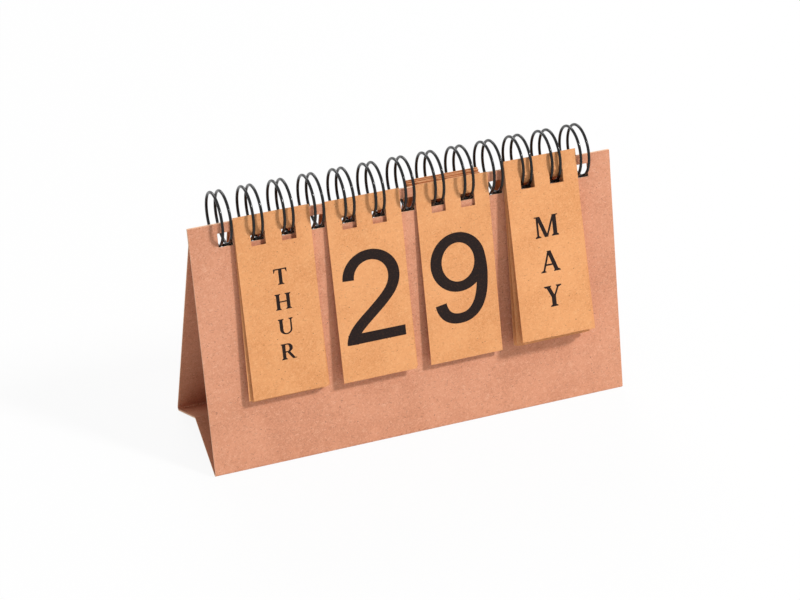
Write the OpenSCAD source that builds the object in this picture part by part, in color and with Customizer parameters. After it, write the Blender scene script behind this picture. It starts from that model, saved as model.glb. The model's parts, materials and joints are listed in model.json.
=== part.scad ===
// Perpetual desk calendar: a folded board easel, a twin-loop wire along its
// top edge and four packs of hanging cards that flip over the wire.
// Millimetres. +X runs along the front panel, +Y to the back, +Z up.
// The origin lies on the table, in the middle of the base.

/* [Stand] */
// Width of the board along the wire
panel_w = 180; // [176:1:240]
// Slant height of the front panel
panel_h = 105; // [95:0.5:125]
// Lean of the front panel from the vertical, degrees
panel_lean = 13.2; // [10:0.1:17]
// Depth of the base from the front fold to the back fold
base_d = 53; // [48:0.5:64]
// Height of the ridge in the middle of the base
ridge_h = 12.8; // [8:0.2:18]
// Thickness of the board
board_t = 0.6; // [0.4:0.05:0.8]
// Inside radius of the folds
fold_r = 0.5; // [0.3:0.1:1.2]
// Gap between the two punched top margins
margin_gap = 0.1; // [0.05:0.05:0.3]

/* [Punched holes] */
// Width of every punched hole
hole_w = 6; // [5.6:0.1:6.8]
// Height of the holes in the front panel
hole_h = 5.8; // [5.6:0.1:6.6]
// Board left above the holes
hole_drop = 3.9; // [3.6:0.1:4.2]
// Height of the holes in the back panel
back_hole_h = 8.2; // [7.8:0.1:9]

/* [Wire] */
// Diameter of the wire
wire_d = 1.2; // [0.9:0.1:1.3]
// Radius of a loop, to the middle of the wire
loop_r = 10.6; // [10.4:0.1:11]
// Distance between the two wires of a loop
loop_pair = 3.6; // [3:0.1:3.8]
// Distance from loop to loop
loop_pitch = 12.7; // [12:0.1:13.2]
// Number of double loops
loop_count = 13; // [13:1:13]
// Distance of the middle loop to the right of the board's middle
loop_shift = 0.9; // [-2:0.1:2]
// Distance of the loop axis behind the face of the front panel
loop_back = 6.1; // [5.9:0.1:6.3]
// Height of the loop axis over the front panel's top edge, along the panel
loop_rise = 0.35; // [0.2:0.05:0.6]
// Angle below the forward level where the closed tips begin, degrees
tip_angle = 43; // [40:0.5:44]
// Angle below the forward level where the wire leaves the loop for the roots
root_angle = 70.3; // [69:0.1:71]
// Straight wire between the loop and the root bend
root_reach = 1.85; // [1.6:0.05:2]
// Bend radius of the roots
root_bend = 1.5; // [1.2:0.1:1.8]
// Length of the cut wire end past the first and the last root bend
stub_l = 1.6; // [0.8:0.1:3]

/* [Cards] */
// Width of a card
card_w = 31.5; // [26:0.5:33]
// Height of a card
card_h = 76; // [60:1:82]
// Thickness of a card
card_t = 0.25; // [0.15:0.05:0.3]
// Air between two cards at the wire
card_gap = 0.06; // [0.05:0.01:0.1]
// Card left above its holes
card_drop = 7.2; // [5:0.1:8]
// Height of the holes in the cards
card_hole_h = 5.5; // [5:0.1:6.5]
// Added air behind the card on show, so that its top edge clears the next card as it lifts
show_gap = 0.3; // [0.25:0.05:0.5]
// Air between a board face and the card that lies on it
rest_gap = 0.2; // [0.15:0.05:0.4]
// Air between the wire and the top of the hole that hangs on it
hang_gap = 0.2; // [0.15:0.01:0.3]
// Angle between the front panel and the innermost card of a pack, degrees
rest_lean = 0.4; // [0.2:0.1:1]
// Angle between the front panel and a front card with none behind it, degrees
fan_start = 2; // [1:0.1:3]
// Added angle of the card on show for each card behind it, degrees
fan_step = 0.5; // [0.1:0.1:0.6]
// Lean of the weekday card on show, which lies flatter, as a share of the others'
week_lean = 0.55; // [0.5:0.05:1]
// Distance of the innermost back card ahead of the loop axis
back_first = 2.5; // [1.5:0.1:3]
// Air between two back cards, which hang loose, at the wire
back_gap = 0.45; // [0.3:0.05:0.5]
// Added angle from one back card to the next, degrees
back_fan_step = 0.2; // [0.05:0.05:0.3]
// Sideways swing of the loose cards inside a pack, degrees
sway = 1.3; // [0:0.1:1.5]

/* [Date on show] */
// Weekday card in front, counted from zero
shown_day = 3; // [1:1:5]
// Tens card in front
shown_tens = 2; // [1:1:2]
// Units card in front
shown_units = 9; // [1:1:9]
// Month card in front, counted from zero
shown_month = 4; // [1:1:10]

/* [Hidden] */
$fn = 48;

board_colour = "#d59a7c";
card_colour = "#e6ab74";
wire_colour = "#1c1c1f";
past = 1;          // how far a cutter runs past the face it opens
graze = 0.3;       // the same between the two panels
fold_steps = 10;   // facets round a fold

// The end view is drawn in the Y-Z plane, as [y, z] points.
up_front = [sin(panel_lean), cos(panel_lean)];
back_of_front = [cos(panel_lean), -sin(panel_lean)];
foot = [-base_d / 2, 0];
// Point of the front panel: v down from its top edge, w behind its face
function on_front(v, w) = foot + (panel_h - v) * up_front + w * back_of_front;

// Folds of the board along the middle of its thickness
fold_mid = fold_r + board_t / 2;
base_rise = atan(ridge_h / (base_d / 2));
bend_drop = hole_drop + hole_h / 2;
margin_w = 1.5 * board_t + margin_gap;
// Height of a fold's corner so that its round rests on the table
function fold_z(a, b) = fold_r + board_t
    - fold_mid / sin(abs(a - b) / 2) * sin((a + b) / 2);
front_mid = on_front(panel_h, board_t / 2);
front_fold_z = fold_z(90 - panel_lean, base_rise);
front_fold = [front_mid[0] + (front_fold_z - front_mid[1]) * tan(panel_lean), front_fold_z];
ridge = [0, front_fold[1] - front_fold[0] * tan(base_rise)];
bend = on_front(bend_drop, margin_w);
function back_fold_at(lean) = let (z = fold_z(180 - base_rise, 90 + lean))
    [(ridge[1] - z) / tan(base_rise), z];
function lean_at(f) = atan2(f[0] - bend[0], bend[1] - f[1]);
// The lean and the fold's corner depend on each other: a few passes settle both
settle_passes = 6;
function settle(lean, n) = n == 0 ? lean : settle(lean_at(back_fold_at(lean)), n - 1);
back_lean = settle(panel_lean, settle_passes);
back_fold = back_fold_at(back_lean);
path = [on_front(0, board_t / 2), front_fold, ridge, back_fold, bend, on_front(0, margin_w)];

function unit(v) = v / norm(v);
function left(v) = [-v[1], v[0]];
function turn(a, b) = atan2(a[0] * b[1] - a[1] * b[0], a * b);
function spin(v, a) = [v[0] * cos(a) - v[1] * sin(a), v[0] * sin(a) + v[1] * cos(a)];
// One side of the board round the fold at corner i of the path
function fold_side(i, side) =
    let (a = unit(path[i] - path[i - 1]), b = unit(path[i + 1] - path[i]),
         t = turn(a, b), s = sign(t),
         start = path[i] - a * fold_mid * tan(abs(t) / 2),
         centre = start + s * fold_mid * left(a),
         arm = -s * left(a) * (fold_mid - side * s * board_t / 2))
    [for (k = [0:fold_steps]) centre + spin(arm, t * k / fold_steps)];
function board_side(side) =
    let (n = len(path) - 1, off = side * board_t / 2)
    concat([path[0] + off * left(unit(path[1] - path[0]))],
        [for (i = [1:n - 1]) each fold_side(i, side)],
        [path[n] + off * left(unit(path[n] - path[n - 1]))]);
function flip(v) = [for (i = [len(v) - 1:-1:0]) v[i]];

// Loops
loop_c = on_front(-loop_rise, loop_back);
function loop_x(i) = loop_shift + (i - (loop_count - 1) / 2) * loop_pitch;
wire_r = wire_d / 2;
run_l = loop_pitch - loop_pair - 2 * root_bend;
joint_r = wire_r * 1.04;   // ball that joins a loop to its root
joint_in = wire_r / 12;    // how far both stop short of the ball's middle
// Distance of the loop axis from the outer face of the back panel
back_in = [-cos(back_lean), -sin(back_lean)];
loop_ahead = (bend - loop_c) * back_in - board_t / 2;

// Packs: number of cards, card on show, first loop that it hangs on, share of the full lean
WEEK = [7, shown_day, 1, week_lean];
TENS = [4, shown_tens, 4, 1];
UNITS = [10, shown_units, 7, 1];
MONTHS = [12, shown_month, 10, 1];
card_step = card_t + card_gap;
back_step = card_t + back_gap;
card_span = loop_pitch + loop_pair + wire_d;

// Runs an end view along X, from -w/2 to w/2
module along_x(w) { rotate([90, 0, 90]) linear_extrude(height = w, center = true) children(); }

// A rectangle in the end view: from point p along direction d, h long and t deep
module slab(p, d, h, t) {
    translate(p) rotate(atan2(d[1], d[0])) translate([0, -t / 2]) square([h, t]);
}

// One board folded into an easel, punched along both top margins
module stand() {
    front_cut = board_t + margin_gap / 2 + past;
    rear_cut = board_t + margin_gap / 2 + past;
    upper = bend_drop - hole_drop;
    color(board_colour) difference() {
        along_x(panel_w) polygon(concat(board_side(1), flip(board_side(-1))));
        for (i = [0:loop_count - 1]) translate([loop_x(i), 0, 0]) {
            along_x(hole_w) slab(on_front(hole_drop, front_cut / 2 - past), -up_front,
                hole_h, front_cut);
            along_x(hole_w) slab(on_front(hole_drop, front_cut - past + rear_cut / 2),
                -up_front, upper + board_t, rear_cut);
            along_x(hole_w) slab(bend, unit(back_fold - bend), back_hole_h - upper,
                board_t + 2 * graze);
        }
    }
}

// A round bar bent through an angle, starting at the origin along +Z and
// turning towards +X
module bend_bar(r, a) {
    translate([r, 0, 0]) rotate([90, 0, 0]) rotate([0, 0, 180 - a])
        rotate_extrude(angle = a) translate([r, 0]) circle(wire_r);
}

// Places children at an angle on the loop, with +Z along the wire
module at_angle(x, a, way) {
    translate([x, loop_c[0], loop_c[1]]) rotate([a, 0, 0]) translate([0, -loop_r, 0])
        rotate([way > 0 ? 180 : 0, 0, 0]) children();
}

// Root at one wire: a straight end, a bend and the run to the next loop
module root(x, way, run) {
    at_angle(x, root_angle, 0) {
        sphere(r = joint_r);
        translate([0, 0, joint_in]) cylinder(r = wire_r, h = root_reach - joint_in);
        translate([0, 0, root_reach]) rotate([0, 0, way > 0 ? 0 : 180]) {
            bend_bar(root_bend, 90);
            if (run > 0) translate([root_bend, 0, root_bend]) rotate([0, 90, 0])
                cylinder(r = wire_r, h = run);
        }
    }
}

// One continuous wire, bent into closed double loops
module wire() {
    arc = 360 + tip_angle - root_angle - joint_in / loop_r * 180 / PI;
    color(wire_colour) for (i = [0:loop_count - 1]) {
        for (way = [-1, 1]) {
            x = loop_x(i) + way * loop_pair / 2;
            translate([x, loop_c[0], loop_c[1]]) rotate([0, -90, 0])
                rotate([0, 0, -90 - tip_angle]) rotate_extrude(angle = arc)
                    translate([loop_r, 0]) circle(wire_r);
            last = way < 0 ? i == 0 : i == loop_count - 1;
            root(x, way, last ? stub_l : way > 0 ? run_l : 0);
        }
        at_angle(loop_x(i) - loop_pair / 2, tip_angle, 1) bend_bar(loop_pair / 2, 180);
    }
}

// Outline of a card, its top edge on the X axis
module card_outline() {
    difference() {
        translate([-card_w / 2, -card_h]) square([card_w, card_h]);
        for (way = [-1, 1])
            translate([way * loop_pitch / 2 - hole_w / 2, -card_drop - card_hole_h])
                square([hole_w, card_hole_h]);
    }
}

// A card's plane lies `off` ahead of the loop axis. Its holes hang on the wire
// this far below the axis; the wire runs aslant through the card
function hang_at(off, swing) = let (drop = sqrt(loop_r * loop_r - off * off))
    drop - (wire_r * loop_r + card_t / 2 * abs(off)) / drop - hang_gap
        - card_span / 2 * abs(sin(swing));
// The innermost back card leans with its lower edge on the back panel
back_tilt = back_lean - asin((loop_ahead - rest_gap - card_t / 2 - back_first)
    / (hang_at(back_first, 0) + card_h - card_drop));

// Card number i of a pack: the shown card and those after it hang in front,
// those before it hang at the back
module card(pack, i) {
    front = i >= pack[1];
    rank = front ? pack[0] - 1 - i : i;
    outer = front ? i == pack[1] : i == pack[1] - 1;
    behind = pack[0] - 1 - pack[1];
    show_lean = pack[3] * (fan_start + behind * fan_step);
    lean = outer || !front ? show_lean : rest_lean + (show_lean - rest_lean) * rank / behind;
    off = front ? loop_back + rest_gap + card_t / 2 + rank * card_step
                    + (outer ? show_gap : 0)
                : back_first - rank * back_step;
    tilt = front ? panel_lean + lean : -(back_tilt + rank * back_fan_step);
    swing = outer ? 0 : sway * (1 - rank % 3);
    translate([loop_x(pack[2]) + loop_pitch / 2, loop_c[0], loop_c[1]]) rotate([-tilt, 0, 0])
        translate([0, -off, -hang_at(off, swing)]) rotate([90, 0, 0]) rotate([0, 0, swing])
            color(card_colour) linear_extrude(height = card_t, center = true)
                translate([0, card_drop]) card_outline();
}

stand();
wire();
card(WEEK, 0);  // card_mon
card(WEEK, 1);  // card_tue
card(WEEK, 2);  // card_wed
card(WEEK, 3);  // card_thu
card(WEEK, 4);  // card_fri
card(WEEK, 5);  // card_sat
card(WEEK, 6);  // card_sun
card(TENS, 0);  // card_tens_0
card(TENS, 1);  // card_tens_1
card(TENS, 2);  // card_tens_2
card(TENS, 3);  // card_tens_3
card(UNITS, 0);  // card_units_0
card(UNITS, 1);  // card_units_1
card(UNITS, 2);  // card_units_2
card(UNITS, 3);  // card_units_3
card(UNITS, 4);  // card_units_4
card(UNITS, 5);  // card_units_5
card(UNITS, 6);  // card_units_6
card(UNITS, 7);  // card_units_7
card(UNITS, 8);  // card_units_8
card(UNITS, 9);  // card_units_9
card(MONTHS, 0);  // card_jan
card(MONTHS, 1);  // card_feb
card(MONTHS, 2);  // card_mar
card(MONTHS, 3);  // card_apr
card(MONTHS, 4);  // card_may
card(MONTHS, 5);  // card_jun
card(MONTHS, 6);  // card_jul
card(MONTHS, 7);  // card_aug
card(MONTHS, 8);  // card_sep
card(MONTHS, 9);  // card_oct
card(MONTHS, 10);  // card_nov
card(MONTHS, 11);  // card_dec
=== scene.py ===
"""Perpetual desk calendar: paper finishes, printed cards, twin-loop wire and studio."""

import json
import logging
import math
from dataclasses import dataclass
from enum import Enum
from typing import Iterable, Sequence

import bpy
import numpy as np
from mathutils import Matrix, Vector
from mathutils.geometry import delaunay_2d_cdt


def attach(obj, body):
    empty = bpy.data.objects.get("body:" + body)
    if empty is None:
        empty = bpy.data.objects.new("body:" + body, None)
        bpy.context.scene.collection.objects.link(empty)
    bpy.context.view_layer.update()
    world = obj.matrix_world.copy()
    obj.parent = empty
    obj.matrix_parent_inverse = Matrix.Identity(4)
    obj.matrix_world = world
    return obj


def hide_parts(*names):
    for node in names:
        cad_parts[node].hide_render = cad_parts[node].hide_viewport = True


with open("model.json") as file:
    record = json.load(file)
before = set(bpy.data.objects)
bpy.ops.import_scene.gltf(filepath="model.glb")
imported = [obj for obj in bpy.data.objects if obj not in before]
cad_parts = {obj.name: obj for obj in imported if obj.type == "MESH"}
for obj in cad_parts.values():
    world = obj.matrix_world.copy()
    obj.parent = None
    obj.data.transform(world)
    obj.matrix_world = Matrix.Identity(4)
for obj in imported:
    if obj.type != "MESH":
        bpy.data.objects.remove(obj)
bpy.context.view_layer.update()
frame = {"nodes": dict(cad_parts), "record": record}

MM = 0.001
WHITE = (1.0, 1.0, 1.0, 1.0)
log = logging.getLogger("desk_calendar")

Point = tuple[float, float]
Span = tuple[float, float]
Polygon = list[Point]
Colour = tuple[float, float, float, float]
Surface = tuple[bpy.types.NodeSocket, bpy.types.NodeSocket, bpy.types.NodeSocket]


def linear(red: int, green: int, blue: int) -> Colour:
    """Turns an 8-bit display colour into a linear one.

    Args:
        red: red, 0 to 255.
        green: green, 0 to 255.
        blue: blue, 0 to 255.

    Returns:
        Linear red, green, blue and an alpha of one.
    """
    def one(value: int) -> float:
        """Gives one linear channel."""
        v = value / 255
        return v / 12.92 if v <= 0.04045 else ((v + 0.055) / 1.055) ** 2.4

    return (one(red), one(green), one(blue), 1.0)


# Shader helpers


class NodeSheet:
    """A node tree with short calls to add and join nodes."""

    MIX_FACTOR, MIX_FIRST, MIX_SECOND, MIX_RESULT = 0, 6, 7, 2

    def __init__(self, tree: bpy.types.NodeTree) -> None:
        """Keeps the tree that the calls work on."""
        self.tree = tree

    def feed(self, node: bpy.types.Node, key: str | int, value: object) -> None:
        """Joins a socket to a node's input, or sets the input to a value.

        Args:
            node: the node.
            key: the input's name or number.
            value: the socket or the value.
        """
        if isinstance(value, bpy.types.NodeSocket):
            self.tree.links.new(value, node.inputs[key])
        else:
            node.inputs[key].default_value = value

    def add(self, kind: str, values: dict | None = None, **settings: object) -> bpy.types.Node:
        """Adds a node.

        Args:
            kind: the node's type name without the ShaderNode prefix.
            values: input name or number to a value or to a socket that feeds it.
            settings: properties of the node.

        Returns:
            The new node.
        """
        node = self.tree.nodes.new("ShaderNode" + kind)
        for name, value in settings.items():
            setattr(node, name, value)
        for key, value in (values or {}).items():
            self.feed(node, key, value)
        return node

    def math(self, operation: str, a: object, b: object = 0.0) -> bpy.types.NodeSocket:
        """Adds a math node.

        Args:
            operation: Blender's name of the operation.
            a: first value or socket.
            b: second value or socket.

        Returns:
            The result's socket.
        """
        node = self.add("Math", {0: a, 1: b}, operation=operation)
        return node.outputs[0]

    def ramp(self, value: object, low: float, high: float, out_low: float = 0.0,
             out_high: float = 1.0) -> bpy.types.NodeSocket:
        """Maps a value smoothly from one range to another.

        Args:
            value: the socket to map.
            low: start of the range that comes in.
            high: end of the range that comes in.
            out_low: what low becomes.
            out_high: what high becomes.

        Returns:
            The mapped socket.
        """
        node = self.add("MapRange", {"Value": value, "From Min": low, "From Max": high,
                                     "To Min": out_low, "To Max": out_high},
                        interpolation_type="SMOOTHSTEP")
        return node.outputs[0]

    def mix(self, mask: object, first: object, second: object) -> bpy.types.NodeSocket:
        """Mixes two colours.

        Args:
            mask: zero for the first colour, one for the second.
            first: a colour or a socket.
            second: a colour or a socket.

        Returns:
            The mixed colour's socket.
        """
        node = self.add("Mix", {self.MIX_FACTOR: mask, self.MIX_FIRST: first,
                                self.MIX_SECOND: second}, data_type="RGBA")
        return node.outputs[self.MIX_RESULT]

    def group(self, tree: bpy.types.NodeTree, values: dict) -> bpy.types.Node:
        """Places a shared group with its own values.

        Args:
            tree: the group's tree.
            values: input name to a value or socket.

        Returns:
            The group's node.
        """
        return self.add("Group", values, node_tree=tree)


class SharedEffects:
    """Shader node groups that more than one finish uses."""

    FIBRE_TURNS = (0.3, 1.25, 2.3)
    FIBRE_SHIFT = (0.013, 0.029, 0.017)
    STROKE_EDGE = (0.42, 0.18)
    FAINTEST_STROKE = 0.45
    GRAIN_NOISE = {"Detail": 3.0, "Roughness": 0.65}
    CLOUD_NOISE = {"Detail": 4.0, "Roughness": 0.6}
    SIDE_FACING, LEVEL_FACING = 0.7, 0.8

    def __init__(self) -> None:
        """Builds every group once."""
        self.fibres = self._fibres()
        self.grain = self._grain()
        self.cut_edge = self._cut_edge()

    @staticmethod
    def _start(name: str, inputs: Sequence[tuple[str, str, object]],
               outputs: Sequence[tuple[str, str]]) -> tuple[NodeSheet, dict, bpy.types.Node]:
        """Starts a group with named sockets.

        Args:
            name: the group's name.
            inputs: name, socket type and default of each input.
            outputs: name and socket type of each output.

        Returns:
            The sheet to draw on, the input sockets by name and the output node.
        """
        tree = bpy.data.node_groups.new(name, "ShaderNodeTree")
        for label, kind, value in inputs:
            socket = tree.interface.new_socket(name=label, in_out="INPUT",
                                               socket_type="NodeSocket" + kind)
            if value is not None:
                socket.default_value = value
        for label, kind in outputs:
            tree.interface.new_socket(name=label, in_out="OUTPUT",
                                      socket_type="NodeSocket" + kind)
        source = tree.nodes.new("NodeGroupInput")
        sink = tree.nodes.new("NodeGroupOutput")
        return NodeSheet(tree), {s.name: s for s in source.outputs}, sink

    def _fibres(self) -> bpy.types.NodeTree:
        """Short strokes of paper fibre that lie in several directions.

        Returns:
            A group that gives a mask of strokes.
        """
        sheet, given, sink = self._start(
            "paper_fibres",
            [("Vector", "Vector", None), ("Length", "Float", 0.002), ("Width", "Float", 0.0004),
             ("Share", "Float", 0.2), ("Turn", "Float", 0.0)],
            [("Mask", "Float")])
        total = None
        for step, angle in enumerate(self.FIBRE_TURNS):
            turn = sheet.math("ADD", given["Turn"], angle)
            rotation = sheet.add("CombineXYZ", {"Y": turn})
            size = sheet.add("CombineXYZ", {"X": given["Length"], "Y": given["Width"],
                                            "Z": given["Width"]})
            shift = tuple(step * s for s in self.FIBRE_SHIFT)
            mapped = sheet.add("Mapping", {"Vector": given["Vector"], "Location": shift,
                                           "Rotation": rotation.outputs[0],
                                           "Scale": size.outputs[0]}, vector_type="TEXTURE")
            cells = sheet.add("TexVoronoi", {"Vector": mapped.outputs[0], "Scale": 1.0},
                              feature="F1")
            spread = sheet.add("SeparateColor", {0: cells.outputs["Color"]})
            picked = sheet.math("LESS_THAN", spread.outputs[0], given["Share"])
            body = sheet.ramp(cells.outputs["Distance"], *self.STROKE_EDGE)
            weight = sheet.ramp(spread.outputs[1], 0.0, 1.0, self.FAINTEST_STROKE, 1.0)
            stroke = sheet.math("MULTIPLY", sheet.math("MULTIPLY", picked, body), weight)
            total = stroke if total is None else sheet.math("MAXIMUM", total, stroke)
        sheet.tree.links.new(total, sink.inputs["Mask"])
        return sheet.tree

    def _grain(self) -> bpy.types.NodeTree:
        """Fine felt-like grain and slow clouds.

        Returns:
            A group that gives the grain and the clouds, both around a half.
        """
        sheet, given, sink = self._start(
            "felt_grain",
            [("Vector", "Vector", None), ("Grain Scale", "Float", 1400.0),
             ("Cloud Scale", "Float", 55.0)],
            [("Grain", "Float"), ("Clouds", "Float")])
        grain = sheet.add("TexNoise", {"Vector": given["Vector"], "Scale": given["Grain Scale"],
                                       **self.GRAIN_NOISE})
        clouds = sheet.add("TexNoise", {"Vector": given["Vector"], "Scale": given["Cloud Scale"],
                                        **self.CLOUD_NOISE})
        sheet.tree.links.new(grain.outputs[0], sink.inputs["Grain"])
        sheet.tree.links.new(clouds.outputs[0], sink.inputs["Clouds"])
        return sheet.tree

    def _cut_edge(self) -> bpy.types.NodeTree:
        """Finds the cut edges of a sheet by the way that they face; the kraft finishes paint these
        edges pale, partly as a painted highlight.

        Returns:
            A group that gives a mask of the cut edges.
        """
        sheet, given, sink = self._start(
            "cut_edge",
            [("Normal", "Vector", None), ("Position", "Vector", None),
             ("Up From", "Float", 0.0)],
            [("Mask", "Float")])
        facing = sheet.add("SeparateXYZ", {0: given["Normal"]})
        place = sheet.add("SeparateXYZ", {0: given["Position"]})
        side = sheet.math("GREATER_THAN", sheet.math("ABSOLUTE", facing.outputs[0]),
                          self.SIDE_FACING)
        level = sheet.math("GREATER_THAN", sheet.math("ABSOLUTE", facing.outputs[2]),
                           self.LEVEL_FACING)
        high = sheet.math("GREATER_THAN", place.outputs[2], given["Up From"])
        total = sheet.math("MAXIMUM", side, sheet.math("MULTIPLY", level, high))
        sheet.tree.links.new(total, sink.inputs["Mask"])
        return sheet.tree


# Finishes


@dataclass(frozen=True, kw_only=True)
class Finish:
    """A material, and the way its surface takes the light."""

    name: str
    roughness: Span
    specular: float
    relief: float
    relief_depth: float
    wear_span: Span = (0.3, 0.7)

    def material(self, effects: SharedEffects) -> bpy.types.Material:
        """Builds the finish.

        Args:
            effects: the shared node groups.

        Returns:
            The material.
        """
        made = bpy.data.materials.new(self.name)
        made.use_nodes = True
        sheet = NodeSheet(made.node_tree)
        shader = made.node_tree.nodes["Principled BSDF"]
        colour, wear, height = self.surface(sheet, effects)
        bump = sheet.add("Bump", {"Strength": self.relief, "Distance": self.relief_depth,
                                  "Height": height})
        sheet.feed(shader, "Base Color", colour)
        sheet.feed(shader, "Roughness", sheet.ramp(wear, *self.wear_span, *self.roughness))
        sheet.feed(shader, "Specular IOR Level", self.specular)
        sheet.feed(shader, "Normal", bump.outputs[0])
        return made

    def surface(self, sheet: NodeSheet, effects: SharedEffects) -> Surface:
        """Draws the surface.

        Args:
            sheet: the material's nodes.
            effects: the shared node groups.

        Returns:
            The colour, the noise that varies the roughness, and the height.
        """
        raise NotImplementedError


@dataclass(frozen=True, kw_only=True)
class KraftFinish(Finish):
    """Brown recycled paper or board with visible fibre."""

    base: Colour
    deep: Colour
    pale: Colour
    fibre_dark: Colour
    fibre_light: Colour
    speck: Colour
    # Cut edge colour: the cut paper's own paler tone, lightened further as a painted highlight on
    # edges that stand in shade.
    cut: Colour
    edge_from: float
    cloud_span: Span = (0.34, 0.66)
    grain_span: Span = (0.38, 0.68)
    grain_mix: float = 0.5
    dark_fibre: Span = (2.6 * MM, 0.30 * MM)
    dark_share: float = 0.10
    dark_mix: float = 0.6
    light_fibre: Span = (3.8 * MM, 0.34 * MM)
    light_share: float = 0.22
    light_turn: float = 0.55
    light_mix: float = 0.55
    speck_size: Span = (0.75 * MM, 0.6 * MM)
    speck_share: float = 0.006
    speck_turn: float = 0.2
    speck_mix: float = 0.75
    cut_mix: float = 0.75
    scuff_height: float = 0.0
    scuff_span: Span = (0.5, 0.62)
    fibre_relief: float = 0.35
    roughness: Span = (0.72, 0.9)
    specular: float = 0.25
    relief: float = 0.35
    relief_depth: float = 0.06 * MM

    def surface(self, sheet: NodeSheet, effects: SharedEffects) -> Surface:
        """Lays fibres, specks and pale cut edges over a cloudy ground; the paleness of the cut
        edges is partly a painted highlight.

        Args:
            sheet: the material's nodes.
            effects: the shared node groups.

        Returns:
            The colour, the noise that varies the roughness, and the height.
        """
        where = sheet.add("TexCoord")
        position, normal = where.outputs["Object"], where.outputs["Normal"]
        grain = sheet.group(effects.grain, {"Vector": position}).outputs

        def strokes(size: Span, share: float, turn: float) -> bpy.types.NodeSocket:
            """Gives a mask of fibres or specks."""
            return sheet.group(effects.fibres, {
                "Vector": position, "Length": size[0], "Width": size[1], "Share": share,
                "Turn": turn}).outputs[0]

        light = strokes(self.light_fibre, self.light_share, self.light_turn)
        dark = strokes(self.dark_fibre, self.dark_share, 0.0)
        specks = strokes(self.speck_size, self.speck_share, self.speck_turn)
        edge = sheet.group(effects.cut_edge, {"Normal": normal, "Position": position,
                                              "Up From": self.edge_from}).outputs[0]
        colour = sheet.mix(sheet.ramp(grain["Clouds"], *self.cloud_span), self.deep, self.base)
        speckle = sheet.ramp(grain["Grain"], *self.grain_span, 0.0, self.grain_mix)
        colour = sheet.mix(speckle, colour, self.pale)
        # The last layer paints the cut edges pale: partly the cut paper's own tone, partly a
        # painted highlight on edges in shade.
        for mask, share, paint in ((light, self.light_mix, self.fibre_light),
                                   (dark, self.dark_mix, self.fibre_dark),
                                   (specks, self.speck_mix, self.speck),
                                   (edge, self.cut_mix, self.cut)):
            colour = sheet.mix(sheet.math("MULTIPLY", mask, share), colour, paint)
        if self.scuff_height > 0:
            height = sheet.add("SeparateXYZ", {0: position}).outputs[2]
            low = sheet.ramp(height, self.scuff_height, 0.0)
            worn = sheet.ramp(grain["Grain"], *self.scuff_span)
            colour = sheet.mix(sheet.math("MULTIPLY", low, worn), colour, self.cut)
        raised = sheet.math("MULTIPLY", light, self.fibre_relief)
        return colour, grain["Grain"], sheet.math("ADD", grain["Grain"], raised)


@dataclass(frozen=True, kw_only=True)
class WireFinish(Finish):
    """Nylon-coated steel wire."""

    coat: Colour
    worn: Colour
    grain_scale: float = 900.0
    scuff_scale: float = 160.0
    scuff_span: Span = (0.55, 0.8)
    roughness: Span = (0.08, 0.16)
    specular: float = 0.32
    relief: float = 0.05
    relief_depth: float = 0.04 * MM

    def surface(self, sheet: NodeSheet, effects: SharedEffects) -> Surface:
        """Rubs the coat a little paler in clouds.

        Args:
            sheet: the material's nodes.
            effects: the shared node groups.

        Returns:
            The colour, the noise that varies the roughness, and the height.
        """
        position = sheet.add("TexCoord").outputs["Object"]
        grain = sheet.group(effects.grain, {"Vector": position, "Grain Scale": self.grain_scale,
                                            "Cloud Scale": self.scuff_scale}).outputs
        scuff = sheet.ramp(grain["Clouds"], *self.scuff_span)
        return sheet.mix(scuff, self.coat, self.worn), grain["Clouds"], grain["Grain"]


@dataclass(frozen=True, kw_only=True)
class InkFinish(Finish):
    """Black offset ink that sinks a little into the fibre."""

    ink: Colour
    thin: Colour
    grain_scale: float = 1600.0
    faint_span: Span = (0.45, 0.75)
    faint_mix: float = 0.16
    bare_fibre: Span = (1.1 * MM, 0.3 * MM)
    bare_share: float = 0.07
    bare_mix: float = 0.3
    roughness: Span = (0.5, 0.7)
    specular: float = 0.15
    relief: float = 0.25
    relief_depth: float = 0.04 * MM

    def surface(self, sheet: NodeSheet, effects: SharedEffects) -> Surface:
        """Thins the ink over the grain and over bare fibres.

        Args:
            sheet: the material's nodes.
            effects: the shared node groups.

        Returns:
            The colour, the noise that varies the roughness, and the height.
        """
        position = sheet.add("TexCoord").outputs["Object"]
        grain = sheet.group(effects.grain, {"Vector": position,
                                            "Grain Scale": self.grain_scale}).outputs
        bare = sheet.group(effects.fibres, {
            "Vector": position, "Length": self.bare_fibre[0], "Width": self.bare_fibre[1],
            "Share": self.bare_share}).outputs[0]
        faint = sheet.ramp(grain["Grain"], *self.faint_span, 0.0, self.faint_mix)
        mask = sheet.math("MAXIMUM", faint, sheet.math("MULTIPLY", bare, self.bare_mix))
        return sheet.mix(mask, self.ink, self.thin), grain["Grain"], grain["Grain"]


# The board's cut colour is a near-white peach: the paler cut board plus a painted highlight on its
# cut edges.
BOARD = KraftFinish(
    name="kraft_board", base=linear(219, 152, 118), deep=linear(206, 140, 107),
    pale=linear(234, 172, 142), fibre_dark=linear(140, 84, 60), fibre_light=linear(244, 194, 164),
    speck=linear(96, 58, 42), cut=linear(255, 214, 178), edge_from=88 * MM,
    scuff_height=1.2 * MM)
# The card's cut colour is lighter than its face: the paler cut card plus a painted highlight on the
# shaded edges of the packs.
CARD = KraftFinish(
    name="kraft_card", base=linear(232, 163, 107), deep=linear(221, 151, 96),
    pale=linear(242, 178, 124), fibre_dark=linear(160, 98, 54), fibre_light=linear(250, 200, 150),
    speck=linear(92, 54, 30), cut=linear(238, 180, 132), edge_from=-1.0, dark_mix=0.5,
    light_mix=0.45)
BLACK_WIRE = WireFinish(name="black_wire", coat=linear(13, 12, 14), worn=linear(24, 23, 26))
BLACK_INK = InkFinish(name="black_ink", ink=linear(30, 20, 19), thin=linear(112, 76, 54))


# Lettering


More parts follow.
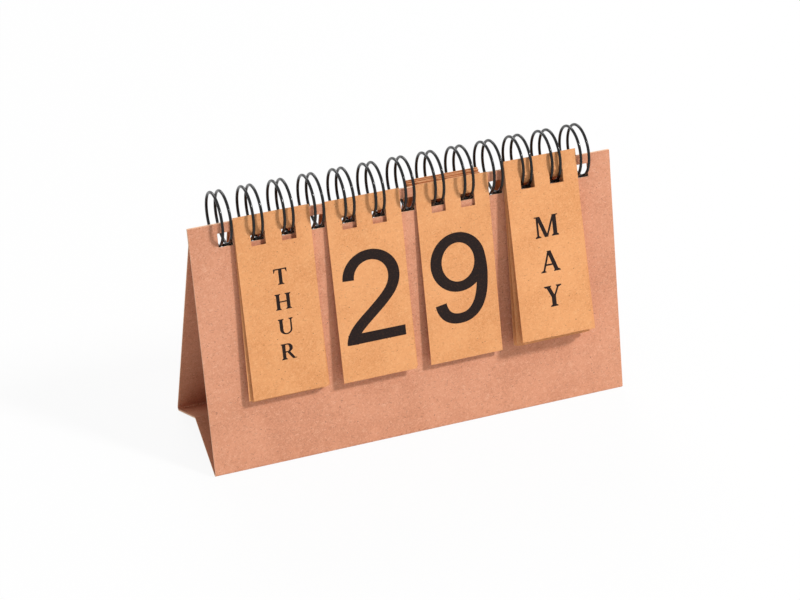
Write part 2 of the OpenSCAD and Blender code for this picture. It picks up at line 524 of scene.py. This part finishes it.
@dataclass(frozen=True)
class Nib:
    """A pen with its own half widths for stems and for bars."""

    across: float
    along: float

    def ribbon(self, path: Sequence[Point], widths: Sequence[float] | None = None) -> list[Polygon]:
        """Draws a stroke along a path.

        Args:
            path: points of the stroke's middle line.
            widths: half width at each point in place of the pen's own.

        Returns:
            One four-sided polygon for each step of the path.
        """
        sides: list[tuple[Point, Point]] = []
        last = len(path) - 1
        for k, (x, y) in enumerate(path):
            ahead, behind = path[min(k + 1, last)], path[max(k - 1, 0)]
            if path[0] == path[-1] and k in (0, last):
                ahead, behind = path[1], path[last - 1]
            dx, dy = ahead[0] - behind[0], ahead[1] - behind[1]
            length = math.hypot(dx, dy)
            nx, ny = -dy / length, dx / length
            if widths is not None:
                ox, oy = nx * widths[k], ny * widths[k]
            else:
                ox, oy = nx * self.across, ny * self.along
            sides.append(((x + ox, y + oy), (x - ox, y - oy)))
        return [[a[0], a[1], b[1], b[0]] for a, b in zip(sides, sides[1:])]


class Part:
    """One part of a letter, in units of the letter's height."""

    def polygons(self) -> list[Polygon]:
        """Gives the part's outlines."""
        raise NotImplementedError


@dataclass(frozen=True)
class Shape(Part):
    """A plain polygon."""

    points: tuple[Point, ...]

    def polygons(self) -> list[Polygon]:
        """Gives the polygon itself."""
        return [list(self.points)]


@dataclass(frozen=True)
class Block(Part):
    """An upright rectangle."""

    left: float
    low: float
    right: float
    high: float

    def polygons(self) -> list[Polygon]:
        """Gives the rectangle."""
        return [[(self.left, self.low), (self.right, self.low), (self.right, self.high),
                 (self.left, self.high)]]


@dataclass(frozen=True)
class Slant(Part):
    """A straight stroke between two heights, cut level at both ends."""

    x0: float
    y0: float
    x1: float
    y1: float
    width: float

    def polygons(self) -> list[Polygon]:
        """Gives the stroke."""
        h = self.width / 2
        return [[(self.x0 - h, self.y0), (self.x0 + h, self.y0), (self.x1 + h, self.y1),
                 (self.x1 - h, self.y1)]]


@dataclass(frozen=True)
class Serif(Part):
    """A bracketed foot or head across a stem."""

    x: float
    y: float
    half: float
    stem: float
    thick: float = 0.05
    bracket: float = 0.05
    end_share: float = 0.8

    def polygons(self) -> list[Polygon]:
        """Gives the slab with its two brackets.

        Returns:
            One polygon.
        """
        up = 1 if self.y < 0.5 else -1
        end, top = self.thick * up * self.end_share, (self.thick + self.bracket) * up
        x, y, reach, h = self.x, self.y, self.half, self.stem / 2
        return [[(x - reach, y), (x + reach, y), (x + reach, y + end), (x + h, y + top),
                 (x - h, y + top), (x - reach, y + end)]]


@dataclass(frozen=True)
class Beak(Part):
    """The pointed end of an arm."""

    x: float
    y: float
    reach: float
    drop: float
    point: float = 0.035

    def polygons(self) -> list[Polygon]:
        """Gives the beak, which runs back along the arm by its reach.

        Returns:
            One polygon.
        """
        tip = math.copysign(self.point, self.reach)
        return [[(self.x, self.y), (self.x - self.reach, self.y),
                 (self.x - tip, self.y - self.drop), (self.x, self.y - self.drop)]]


@dataclass(frozen=True)
class Bow(Part):
    """An arc of an ellipse, drawn with a pen whose stem width may change on the way."""

    cx: float
    cy: float
    rx: float
    ry: float
    start: float
    end: float
    across: float
    along: float
    across_end: float | None = None
    steps: int = 40
    power: float = 2.0

    def polygons(self) -> list[Polygon]:
        """Gives the stroke.

        Returns:
            One polygon for each step.
        """
        path: list[Point] = []
        for k in range(self.steps + 1):
            a = math.radians(self.start + (self.end - self.start) * k / self.steps)
            c, s = math.cos(a), math.sin(a)
            path.append((self.cx + self.rx * math.copysign(abs(c) ** (2 / self.power), c),
                         self.cy + self.ry * math.copysign(abs(s) ** (2 / self.power), s)))
        if abs(self.end - self.start) >= 360:
            path[-1] = path[0]
        if self.across_end is None:
            return Nib(self.across, self.along).ribbon(path)
        made: list[Polygon] = []
        for k in range(self.steps):
            share = (k + 0.5) / self.steps
            across = self.across + (self.across_end - self.across) * share
            low, high = max(k - 1, 0), min(k + 3, self.steps + 1)
            pieces = Nib(across, self.along).ribbon(path[low:high])
            made.append(pieces[k - low])
        return made


@dataclass(frozen=True)
class Sweep(Part):
    """A stroke along joined curves, each with two control points."""

    knots: tuple[Point, ...]
    across: float = 0.0
    along: float = 0.0
    widths: tuple[float, ...] = ()
    steps: int = 14

    def polygons(self) -> list[Polygon]:
        """Gives the stroke.

        Returns:
            One polygon for each step.
        """
        path: list[Point] = [self.knots[0]]
        half: list[float] = [self.widths[0]] if self.widths else []
        for i in range(0, len(self.knots) - 1, 3):
            p = self.knots[i:i + 4]
            for k in range(1, self.steps + 1):
                t = k / self.steps
                u = 1 - t
                w = (u ** 3, 3 * u * u * t, 3 * u * t * t, t ** 3)
                path.append((sum(a * q[0] for a, q in zip(w, p)),
                             sum(a * q[1] for a, q in zip(w, p))))
                if self.widths:
                    a, b = self.widths[i // 3], self.widths[i // 3 + 1]
                    half.append(a + (b - a) * (t * t * (3 - 2 * t)))
        return Nib(self.across, self.along).ribbon(path, half or None)


@dataclass(frozen=True)
class HalfTurn(Part):
    """Another figure's parts, turned half round."""

    parts: tuple[Part, ...]
    middle: Point

    def polygons(self) -> list[Polygon]:
        """Gives the turned outlines."""
        x, y = self.middle
        return [[(2 * x - a, 2 * y - b) for a, b in outline]
                for part in self.parts for outline in part.polygons()]


# Stroke widths of the capitals and half widths of the figures, in letter heights
STEM, THIN, HAIR = 0.215, 0.1, 0.08
TOP = 1 - HAIR
DIGIT_ACROSS, DIGIT_ALONG = 0.0635, 0.056


def stem(x: float, low: float = 0.0, high: float = 1.0, width: float = STEM) -> Block:
    """Gives an upright stem about x."""
    return Block(x - width / 2, low, x + width / 2, high)


def foot(x: float, y: float = 0.0, half: float = 0.18, width: float = STEM) -> Serif:
    """Gives the serif of a stem."""
    return Serif(x, y, half, width)


def bar(left: float, right: float, low: float) -> Block:
    """Gives a thin level bar."""
    return Block(left, low, right, low + HAIR)


def bowl(cx: float, cy: float, rx: float, ry: float, start: float = 90.0,
         end: float = -90.0) -> Bow:
    """Gives a thick-and-thin bowl."""
    return Bow(cx, cy, rx, ry, start, end, STEM / 2, HAIR / 2)


def thread(cx: float, cy: float, rx: float, ry: float, start: float, end: float) -> Bow:
    """Gives a thin arc that runs on from a bowl."""
    return Bow(cx, cy, rx, ry, start, end, HAIR / 2, HAIR / 2)


LETTERS: dict[str, tuple[Part, ...]] = {
    "A": (Slant(0.13, 0, 0.45, 1, THIN), Slant(0.80, 0, 0.46, 1, 0.2), bar(0.22, 0.68, 0.3),
          foot(0.13, half=0.13, width=THIN), foot(0.80, half=0.17)),
    "B": (stem(0.18), bowl(0.40, 0.74, 0.20, 0.22), bowl(0.42, 0.28, 0.25, 0.24),
          bar(0.01, 0.41, TOP), bar(0.18, 0.43, 0.48), bar(0.01, 0.43, 0)),
    "C": (bowl(0.47, 0.5, 0.39, 0.46, 90, 270), thread(0.47, 0.5, 0.36, 0.46, 90, 35),
          thread(0.47, 0.5, 0.36, 0.46, 270, 325), Block(0.735, 0.66, 0.785, 0.98)),
    "D": (stem(0.18), bowl(0.40, 0.5, 0.40, 0.46), bar(0.01, 0.41, TOP), bar(0.01, 0.41, 0)),
    "E": (stem(0.18), bar(0.01, 0.72, TOP), bar(0.18, 0.52, 0.46), bar(0.01, 0.76, 0),
          Beak(0.72, 0.96, 0.14, 0.22), Beak(0.76, 0.04, 0.16, -0.24),
          Block(0.50, 0.37, 0.54, 0.63)),
    "F": (stem(0.18), bar(0.01, 0.72, TOP), bar(0.18, 0.52, 0.46), foot(0.18, half=0.19),
          Beak(0.72, 0.96, 0.14, 0.22), Block(0.50, 0.37, 0.54, 0.63)),
    "G": (bowl(0.47, 0.5, 0.39, 0.46, 90, 270), thread(0.47, 0.5, 0.36, 0.46, 90, 35),
          thread(0.47, 0.5, 0.36, 0.46, 270, 320), Block(0.735, 0.66, 0.785, 0.98),
          stem(0.71, 0.12, 0.42), Block(0.54, 0.38, 0.88, 0.43)),
    "H": (stem(0.18), stem(0.82), foot(0.18), foot(0.18, 1), foot(0.82), foot(0.82, 1),
          bar(0.18, 0.82, 0.46)),
    "I": (stem(0.2), foot(0.2), foot(0.2, 1)),
    "J": (stem(0.38, 0.24), foot(0.38, 1),
          Bow(0.22, 0.24, 0.16, 0.2, 0, -135, STEM / 2, HAIR / 2, 0.03),
          Bow(0.115, 0.14, 0.035, 0.035, 0, 360, 0.034, 0.034)),
    "L": (stem(0.18), foot(0.18, 1), bar(0.01, 0.74, 0), Beak(0.74, 0.04, 0.18, -0.28)),
    "M": (stem(0.14, width=THIN), stem(0.99, width=0.2), Slant(0.55, 0, 0.19, 1, 0.19),
          Slant(0.57, 0, 0.95, 1, THIN), foot(0.14, half=0.14, width=THIN), foot(0.99),
          Block(0.0, 0.95, 0.2, 1), Block(0.91, 0.95, 1.17, 1)),
    "N": (stem(0.16, width=THIN), stem(0.86, width=THIN), Slant(0.81, 0, 0.18, 1, 0.21),
          foot(0.16, half=0.14, width=THIN), foot(0.86, 1, half=0.14, width=THIN),
          Block(0.0, 0.95, 0.2, 1)),
    "O": (bowl(0.48, 0.5, 0.40, 0.46, 0, 360),),
    "P": (stem(0.18), bowl(0.42, 0.70, 0.23, 0.26), bar(0.01, 0.43, TOP),
          bar(0.18, 0.43, 0.40), foot(0.18, half=0.19)),
    "R": (stem(0.18), bowl(0.42, 0.72, 0.22, 0.24), bar(0.01, 0.43, TOP),
          bar(0.18, 0.43, 0.44), Slant(0.79, 0, 0.44, 0.5, 0.2), foot(0.18),
          Block(0.75, 0, 0.95, 0.05)),
    "S": (Sweep(((0.585, 0.78), (0.55, 0.91), (0.44, 0.96), (0.335, 0.96), (0.19, 0.96),
                 (0.105, 0.87), (0.105, 0.755), (0.105, 0.60), (0.24, 0.555), (0.34, 0.51),
                 (0.47, 0.45), (0.575, 0.40), (0.575, 0.25), (0.575, 0.12), (0.47, 0.04),
                 (0.33, 0.04), (0.21, 0.04), (0.12, 0.10), (0.08, 0.24)),
                widths=(0.03, 0.04, 0.08, 0.11, 0.08, 0.04, 0.03)),
          Block(0.56, 0.68, 0.61, 0.98), Block(0.055, 0.02, 0.105, 0.32)),
    "T": (stem(0.45), bar(0.03, 0.87, TOP), foot(0.45, half=0.2),
          Beak(0.03, 0.96, -0.12, 0.22), Beak(0.87, 0.96, 0.12, 0.22)),
    "U": (stem(0.18, 0.33), stem(0.80, 0.33, width=THIN), foot(0.18, 1),
          foot(0.80, 1, half=0.14, width=THIN),
          Bow(0.49, 0.33, 0.31, 0.29, 180, 360, STEM / 2, HAIR / 2, THIN / 2)),
    "V": (Slant(0.47, 0, 0.17, 1, 0.2), Slant(0.49, 0, 0.78, 1, THIN), foot(0.17, 1),
          foot(0.78, 1, half=0.14, width=THIN)),
    "W": (Slant(0.42, 0, 0.17, 1, 0.19), Slant(0.44, 0, 0.68, 1, THIN),
          Slant(0.92, 0, 0.67, 1, 0.19), Slant(0.94, 0, 1.19, 1, THIN), foot(0.17, 1),
          foot(0.67, 1, half=0.15), foot(1.19, 1, half=0.14, width=THIN)),
    "Y": (Slant(0.43, 0.44, 0.17, 1, 0.2), Slant(0.46, 0.44, 0.72, 1, THIN), stem(0.43, 0, 0.5),
          foot(0.17, 1), foot(0.72, 1, half=0.14, width=THIN), foot(0.43, half=0.19)),
}


def ring(cx: float, cy: float, rx: float, ry: float, start: float = 0.0, end: float = 360.0,
         power: float = 2.0) -> Bow:
    """Gives an arc of a figure."""
    return Bow(cx, cy, rx, ry, start, end, DIGIT_ACROSS, DIGIT_ALONG, steps=64, power=power)


def swing(*knots: Point) -> Sweep:
    """Gives a curved stroke of a figure."""
    return Sweep(knots, DIGIT_ACROSS, DIGIT_ALONG)


NINE = (ring(0.311, 0.675, 0.2485, 0.27),
        swing((0.5595, 0.70), (0.574, 0.60), (0.574, 0.52), (0.567, 0.45),
              (0.55, 0.19), (0.45, 0.056), (0.285, 0.056),
              (0.165, 0.056), (0.095, 0.12), (0.078, 0.24)))


FIGURES: dict[str, tuple[Part, ...]] = {
    "0": (ring(0.315, 0.5, 0.2515, 0.444, power=2.2),),
    "1": (Block(0.31, 0, 0.435, 0.9),
          Shape(((0.435, 0.85), (0.435, 1.0), (0.355, 1.0), (0.30, 0.915), (0.21, 0.845),
                 (0.10, 0.79), (0.10, 0.675), (0.22, 0.725), (0.31, 0.785), (0.36, 0.85)))),
    "2": (swing((0.084, 0.70), (0.084, 0.835), (0.197, 0.944), (0.337, 0.944),
                (0.477, 0.944), (0.59, 0.835), (0.59, 0.70),
                (0.59, 0.56), (0.50, 0.475), (0.345, 0.345),
                (0.19, 0.215), (0.065, 0.135), (0.065, 0.0)),
          Block(0.02, 0, 0.66, 0.112)),
    "3": (ring(0.315, 0.742, 0.215, 0.202, 172, -90), ring(0.322, 0.298, 0.258, 0.242, 90, -170),
          Block(0.225, 0.484, 0.33, 0.596)),
    "4": (Block(0.42, 0, 0.545, 1), Block(0.0, 0.235, 0.68, 0.347),
          Shape(((0.0, 0.347), (0.0, 0.30), (0.12, 0.30), (0.43, 0.80), (0.545, 1.0),
                 (0.447, 1.0)))),
    "5": (ring(0.322, 0.332, 0.258, 0.276, 138, -168), Block(0.14, 0.888, 0.605, 1.0),
          Shape(((0.075, 0.475), (0.185, 0.505), (0.20, 0.60), (0.245, 0.93), (0.245, 1.0),
                 (0.14, 1.0)))),
    "6": (HalfTurn(NINE, (0.315, 0.5)),),
    "7": (Block(0.02, 0.888, 0.645, 1.0),
          swing((0.585, 0.935), (0.42, 0.75), (0.255, 0.42), (0.255, 0.0))),
    "8": (ring(0.322, 0.744, 0.205, 0.2), ring(0.322, 0.288, 0.258, 0.232)),
    "9": NINE,
}


class Face(Enum):
    """The two kinds of lettering on the cards."""

    FIGURE = "figure"
    CAPITAL = "capital"


class Lettering:
    """Joins the parts of each letter into one clean outline, once for each letter."""

    TRIANGLES = 0
    JOIN_WITHIN = 1e-5

    def __init__(self) -> None:
        """Starts with no letter made."""
        self._made: dict[tuple[Face, str], tuple[list[Point], list[list[int]]]] = {}

    def glyph(self, face: Face, letter: str) -> tuple[list[Point], list[list[int]]]:
        """Gives a letter as flat triangles.

        Args:
            face: which lettering.
            letter: the letter or figure.

        Returns:
            Points, with the letter's left edge at zero, and triangles of point numbers.
        """
        key = (face, letter)
        if key not in self._made:
            parts = (FIGURES if face is Face.FIGURE else LETTERS)[letter]
            outlines = [p for part in parts for p in part.polygons()]
            self._made[key] = self._union(outlines)
        return self._made[key]

    def _union(self, outlines: Iterable[Polygon]) -> tuple[list[Point], list[list[int]]]:
        """Joins overlapping polygons.

        Args:
            outlines: the polygons, in any turning sense.

        Returns:
            Points and the triangles that at least one polygon covers.
        """
        points: list[Vector] = []
        faces: list[list[int]] = []
        for outline in outlines:
            area = sum(a[0] * b[1] - b[0] * a[1]
                       for a, b in zip(outline, outline[1:] + outline[:1]))
            turned = outline if area > 0 else outline[::-1]
            faces.append(list(range(len(points), len(points) + len(turned))))
            points.extend(Vector(p) for p in turned)
        spots, _, triangles, _, _, sources = delaunay_2d_cdt(
            points, [], faces, self.TRIANGLES, self.JOIN_WITHIN, True)
        kept = [list(f) for f, source in zip(triangles, sources) if source]
        used = sorted({i for f in kept for i in f})
        index = {old: new for new, old in enumerate(used)}
        left = min(spots[i][0] for i in used)
        return ([(spots[i][0] - left, spots[i][1]) for i in used],
                [[index[i] for i in f] for f in kept])


# Sub-assemblies


def new_piece(name: str, points: Sequence[Vector], faces: Sequence[Sequence[int]],
              material: bpy.types.Material, smooth: bool = False) -> bpy.types.Object:
    """Makes a mesh object.

    Args:
        name: the piece's name.
        points: its points, in metres.
        faces: its faces as point numbers.
        material: its finish.
        smooth: whether its faces are shaded smooth.

    Returns:
        The object, linked to the scene.
    """
    mesh = bpy.data.meshes.new(name)
    mesh.from_pydata([tuple(p) for p in points], [], [list(f) for f in faces])
    mesh.validate()
    mesh.polygons.foreach_set("use_smooth", [smooth] * len(mesh.polygons))
    mesh.materials.append(material)
    piece = bpy.data.objects.new(name, mesh)
    bpy.context.scene.collection.objects.link(piece)
    return piece


def dress(node: str, material: bpy.types.Material) -> None:
    """Gives a solid of the frame its finish in every slot.

    Args:
        node: the solid's name.
        material: its finish.
    """
    mesh = frame["nodes"][node].data
    mesh.materials.clear()
    mesh.materials.append(material)


@dataclass
class Easel:
    """The folded board that carries everything."""

    node: str = "stand"

    def build(self, finish: bpy.types.Material) -> None:
        """Dresses the board."""
        dress(self.node, finish)
        log.info("board dressed")


@dataclass
class TwinLoopWire:
    """One wire bent into closed double loops."""

    node: str = "wire"
    body: str = "easel"
    wire_d: float = 1.2 * MM
    loop_r: float = 10.6 * MM
    loop_pair: float = 3.6 * MM
    loop_pitch: float = 12.7 * MM
    loop_count: int = 13
    loop_shift: float = 0.9 * MM
    axis_y: float = 3.4956 * MM
    axis_z: float = 101.174 * MM
    tip_angle: float = 43.0
    root_angle: float = 70.3
    root_reach: float = 1.85 * MM
    root_bend: float = 1.5 * MM
    stub: float = 1.6 * MM
    reach_steps: int = 3
    loop_steps: int = 72
    bend_steps: int = 10
    sides: int = 14

    def _on_loop(self, x: float, angle: float) -> Vector:
        """Gives a point of a loop, by its angle below the forward level."""
        a = math.radians(angle)
        return Vector((x, self.axis_y - self.loop_r * math.cos(a),
                       self.axis_z - self.loop_r * math.sin(a)))

    def _root(self, x: float, way: int) -> list[Vector]:
        """Gives the root of one wire, from the loop to the end of its bend.

        Args:
            x: place of the wire.
            way: minus one for the left wire, one for the right.

        Returns:
            Points from the loop outwards.
        """
        a = math.radians(self.root_angle)
        start = self._on_loop(x, self.root_angle)
        ahead = Vector((0, -math.sin(a), math.cos(a)))
        path = [start + ahead * (self.root_reach * k / self.reach_steps)
                for k in range(1, self.reach_steps + 1)]
        corner = path[-1]
        for k in range(1, self.bend_steps + 1):
            t = math.pi / 2 * k / self.bend_steps
            side = way * self.root_bend * (1 - math.cos(t))
            path.append(corner + ahead * (self.root_bend * math.sin(t))
                        + Vector((side, 0, 0)))
        return path

    def path(self) -> list[Vector]:
        """Gives the middle line of the whole wire.

        Returns:
            Points from the left-hand cut end to the right-hand one.
        """
        line: list[Vector] = []
        sweep = 360 + self.tip_angle - self.root_angle
        for i in range(self.loop_count):
            middle = self.loop_shift + (i - (self.loop_count - 1) / 2) * self.loop_pitch
            left, right = middle - self.loop_pair / 2, middle + self.loop_pair / 2
            entry = self._root(left, -1)
            if i == 0:
                line.append(entry[-1] - Vector((self.stub, 0, 0)))
            line.extend(reversed(entry))
            angles = [self.root_angle + sweep * k / self.loop_steps
                      for k in range(self.loop_steps + 1)]
            line.extend(self._on_loop(left, a) for a in angles)
            tip = math.radians(self.tip_angle)
            ahead = Vector((0, math.sin(tip), -math.cos(tip)))
            base, half = self._on_loop(middle, self.tip_angle), self.loop_pair / 2
            for k in range(1, self.bend_steps):
                t = math.pi * k / self.bend_steps
                line.append(base + Vector((-half * math.cos(t), 0, 0))
                            + ahead * (half * math.sin(t)))
            line.extend(self._on_loop(right, a) for a in reversed(angles))
            leave = self._root(right, 1)
            line.extend(leave)
            if i == self.loop_count - 1:
                line.append(leave[-1] + Vector((self.stub, 0, 0)))
        return line

    def build(self, finish: bpy.types.Material) -> bpy.types.Object:
        """Sweeps the wire and puts it in the place of its solid.

        Args:
            finish: the wire's material.

        Returns:
            The wire.
        """
        line = self.path()
        points: list[Vector] = []
        faces: list[list[int]] = []
        normal = Vector((0, 0, 1))
        last = len(line) - 1
        for k, p in enumerate(line):
            along = (line[min(k + 1, last)] - line[max(k - 1, 0)]).normalized()
            normal = (normal - along * normal.dot(along)).normalized()
            other = along.cross(normal)
            for s in range(self.sides):
                a = 2 * math.pi * s / self.sides
                points.append(p + (normal * math.cos(a) + other * math.sin(a))
                              * (self.wire_d / 2))
            if k:
                for s in range(self.sides):
                    n = (s + 1) % self.sides
                    faces.append([(k - 1) * self.sides + s, (k - 1) * self.sides + n,
                                  k * self.sides + n, k * self.sides + s])
        faces.append(list(range(self.sides))[::-1])
        faces.append([last * self.sides + s for s in range(self.sides)])
        piece = new_piece("twin_loop_wire", points, faces, finish, smooth=True)
        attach(piece, self.body)
        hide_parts(self.node)
        log.info("wire swept with %d points", len(line))
        return piece


@dataclass(frozen=True)
class Print:
    """How the words of one pack are set on a card, in millimetres from its top edge."""

    face: Face
    height: float
    middle_line: float
    pitch: float = 0.0
    to_right: float = 0.0

    def lines(self, word: str) -> list[float]:
        """Gives the base line of each letter, as a distance down from the top edge.

        Args:
            word: the word, one letter to a line.

        Returns:
            One distance for each letter.
        """
        last = len(word) - 1
        low = self.middle_line + (self.height + last * self.pitch) / 2
        return [low - (last - k) * self.pitch for k in range(last + 1)]


@dataclass(frozen=True)
class CardFace:
    """The printed face of a card."""

    corner: Vector
    right: Vector
    up: Vector
    out: Vector
    width: float

    @classmethod
    def of(cls, node: str) -> "CardFace":
        """Finds the face from the card's solid.

        Args:
            node: the card's name.

        Returns:
            The face, from its upper left corner.
        """
        mesh = frame["nodes"][node].data
        spots = np.unique(np.round([tuple(v.co) for v in mesh.vertices], 7), axis=0)
        centre = (spots.min(0) + spots.max(0)) / 2
        axes = np.linalg.svd(spots - spots.mean(0))[2]
        up, out = Vector(axes[0]), Vector(axes[2])
        up = up if up.z > 0 else -up
        out = out if out.y < 0 else -out
        right = up.cross(out)
        local = [(Vector(p - centre).dot(right), Vector(p - centre).dot(up),
                  Vector(p - centre).dot(out)) for p in spots]
        low = [min(c[i] for c in local) for i in range(3)]
        high = [max(c[i] for c in local) for i in range(3)]
        corner = Vector(centre) + right * low[0] + up * high[1] + out * high[2]
        return cls(corner, right, up, out, high[0] - low[0])

    def spot(self, x: float, y: float, lift: float) -> Vector:
        """Gives a point x from the left, y above the top edge and lift in front."""
        return self.corner + self.right * x + self.up * y + self.out * lift


@dataclass
class CardPack:
    """A pack of cards with one word or figure on each."""

    name: str
    words: dict[str, str]
    setting: Print
    body_of: dict[str, str]
    ink_film: float = 0.02 * MM
    ink_sink: float = 0.01 * MM

    def _ink(self, node: str, word: str, lettering: Lettering,
             ink: bpy.types.Material) -> bpy.types.Object:
        """Lays the ink of one card.

        Args:
            node: the card's name.
            word: what is printed, one letter to a line.
            lettering: the letters.
            ink: the ink's material.

        Returns:
            The print.
        """
        card = CardFace.of(node)
        scale = self.setting.height * MM
        points: list[Vector] = []
        faces: list[list[int]] = []
        for letter, line in zip(word, self.setting.lines(word)):
            flat, triangles = lettering.glyph(self.setting.face, letter)
            left = (card.width - max(p[0] for p in flat) * scale) / 2
            left += self.setting.to_right * MM
            top = len(points)
            under = top + len(flat)
            for lift in (self.ink_film, -self.ink_sink):
                points.extend(card.spot(left + x * scale, y * scale - line * MM, lift)
                              for x, y in flat)
            for a, b, c in triangles:
                faces.append([top + a, top + b, top + c])
                faces.append([under + c, under + b, under + a])
            edges = [edge for a, b, c in triangles for edge in ((a, b), (b, c), (c, a))]
            shared = set(edges)
            faces.extend([top + b, top + a, under + a, under + b]
                         for a, b in edges if (b, a) not in shared)
        return new_piece("print_" + node.removeprefix("card_"), points, faces, ink)

    def build(self, lettering: Lettering, paper: bpy.types.Material,
              ink: bpy.types.Material) -> None:
        """Dresses every card of the pack and prints it.

        Args:
            lettering: the letters.
            paper: the cards' material.
            ink: the ink's material.
        """
        for node, word in self.words.items():
            dress(node, paper)
            piece = self._ink(node, word, lettering, ink)
            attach(piece, self.body_of[node])
            log.info("%s pack: %s printed with %s", self.name, node, word)


def body_names() -> dict[str, str]:
    """Gives the body that each solid rides on."""
    groups = frame["record"]["behaviour"]["bodies"]
    return {node: body for body, nodes in groups.items() for node in nodes}


# Studio


@dataclass
class Studio:
    """Floor, lamps, world and camera."""

    camera_at: tuple[float, float, float] = (-0.32230, -0.83188, 0.60449)
    ahead: tuple[float, float, float] = (0.30605, 0.79159, -0.52890)
    lens: float = 115.4
    sensor: float = 36.0
    sight: Span = (0.05, 50.0)
    key_from: tuple[float, float, float] = (0.511, -0.4906, 0.7057)
    lamp_distance: float = 3.0
    key_size: float = 0.36
    key_power: float = 64.0
    back_from: tuple[float, float, float] = (0.1, 0.8, 0.59)
    back_size: float = 1.6
    back_power: float = 30.0
    ambient: float = 0.40
    floor_half: float = 4.0
    floor_colour: Colour = (0.9, 0.9, 0.9, 1.0)
    floor_roughness: float = 0.9
    floor_glow: float = 0.92
    target: tuple[float, float, float] = (0.0, 0.0, 0.055)

    def build(self) -> None:
        """Sets up everything around the object."""
        self._camera()
        self._lamp("key", self.key_from, self.key_size, self.key_power)
        self._lamp("back", self.back_from, self.back_size, self.back_power)
        self._world()
        self._floor()
        bpy.context.scene.view_settings.view_transform = "Standard"
        log.info("studio set")

    def _camera(self) -> None:
        """Places the camera where the view was taken from."""
        ahead = Vector(self.ahead).normalized()
        right = ahead.cross(Vector((0, 0, 1))).normalized()
        up = right.cross(ahead)
        data = bpy.data.cameras.new("camera")
        data.lens, data.sensor_width = self.lens, self.sensor
        data.clip_start, data.clip_end = self.sight
        camera = bpy.data.objects.new("camera", data)
        turn = Matrix((right, up, -ahead)).transposed().to_4x4()
        camera.matrix_world = Matrix.Translation(self.camera_at) @ turn
        bpy.context.scene.collection.objects.link(camera)
        bpy.context.scene.camera = camera

    def _lamp(self, name: str, side: tuple[float, float, float], size: float,
              power: float) -> None:
        """Adds a soft lamp that looks at the object.

        Args:
            name: the lamp's name.
            side: direction from the object to the lamp.
            size: its side length.
            power: its power in watts.
        """
        data = bpy.data.lights.new(name, "AREA")
        data.size, data.energy = size, power
        lamp = bpy.data.objects.new(name, data)
        way = Vector(side).normalized()
        lamp.location = Vector(self.target) + way * self.lamp_distance
        lamp.rotation_mode = "QUATERNION"
        lamp.rotation_quaternion = way.to_track_quat("Z", "Y")
        bpy.context.scene.collection.objects.link(lamp)

    def _seen(self, sheet: NodeSheet) -> bpy.types.NodeSocket:
        """Tells rays that show the background itself from light on the object.

        Args:
            sheet: the nodes of the floor or of the world.

        Returns:
            One for rays that show the background, zero for the others.
        """
        path = sheet.add("LightPath")
        total = sheet.math("MAXIMUM", path.outputs["Is Camera Ray"],
                           path.outputs["Is Glossy Ray"])
        return sheet.math("MAXIMUM", total, path.outputs["Is Transmission Ray"])

    def _world(self) -> None:
        """Sets an even white surround."""
        world = bpy.data.worlds.new("surround")
        bpy.context.scene.world = world
        world.use_nodes = True
        sheet = NodeSheet(world.node_tree)
        background = world.node_tree.nodes["Background"]
        background.inputs["Color"].default_value = WHITE
        level = sheet.ramp(self._seen(sheet), 0.0, 1.0, self.ambient, 1.0)
        sheet.tree.links.new(level, background.inputs["Strength"])

    def _floor(self) -> None:
        """Lays a pale floor that keeps the object's shadow."""
        made = bpy.data.materials.new("pale_floor")
        made.use_nodes = True
        sheet = NodeSheet(made.node_tree)
        nodes = made.node_tree.nodes
        shader = nodes["Principled BSDF"]
        shader.inputs["Base Color"].default_value = self.floor_colour
        shader.inputs["Roughness"].default_value = self.floor_roughness
        shader.inputs["Specular IOR Level"].default_value = 0.0
        glow = sheet.add("Emission", {"Color": WHITE, "Strength": 1.0})
        share = sheet.math("MULTIPLY", self._seen(sheet), self.floor_glow)
        mixed = sheet.add("MixShader", {0: share, 1: shader.outputs[0], 2: glow.outputs[0]})
        sheet.tree.links.new(mixed.outputs[0], nodes["Material Output"].inputs["Surface"])
        h = self.floor_half
        floor = new_piece("floor", [Vector((-h, -h, 0)), Vector((h, -h, 0)), Vector((h, h, 0)),
                                    Vector((-h, h, 0))], [[0, 1, 2, 3]], made)


def packs() -> list[CardPack]:
    """Gives the four packs.

    Returns:
        The packs in order from left to right.
    """
    bodies = body_names()
    week = {"card_mon": "MON", "card_tue": "TUES", "card_wed": "WED", "card_thu": "THUR",
            "card_fri": "FRI", "card_sat": "SAT", "card_sun": "SUN"}
    months = {"card_" + m: m.upper() for m in
              ("jan", "feb", "mar", "apr", "may", "jun", "jul", "aug", "sep", "oct", "nov", "dec")}
    tens = {f"card_tens_{k}": str(k) for k in range(4)}
    units = {f"card_units_{k}": str(k) for k in range(10)}
    day_print = Print(Face.CAPITAL, height=6.6, middle_line=42.6, pitch=10.4, to_right=0.9)
    figure_print = Print(Face.FIGURE, height=38.3, middle_line=41.65)
    month_print = Print(Face.CAPITAL, height=8.9, middle_line=44.3, pitch=14.7, to_right=-0.2)
    return [CardPack("weekday", week, day_print, bodies),
            CardPack("tens", tens, figure_print, bodies),
            CardPack("units", units, figure_print, bodies),
            CardPack("month", months, month_print, bodies)]


def main() -> None:
    """Builds the calendar and the studio."""
    logging.basicConfig(level=logging.INFO, format="%(name)s: %(message)s")
    Studio().build()
    effects = SharedEffects()
    Easel().build(BOARD.material(effects))
    TwinLoopWire().build(BLACK_WIRE.material(effects))
    paper, ink = CARD.material(effects), BLACK_INK.material(effects)
    lettering = Lettering()
    for pack in packs():
        pack.build(lettering, paper, ink)


if __name__ == "__main__":
    main()
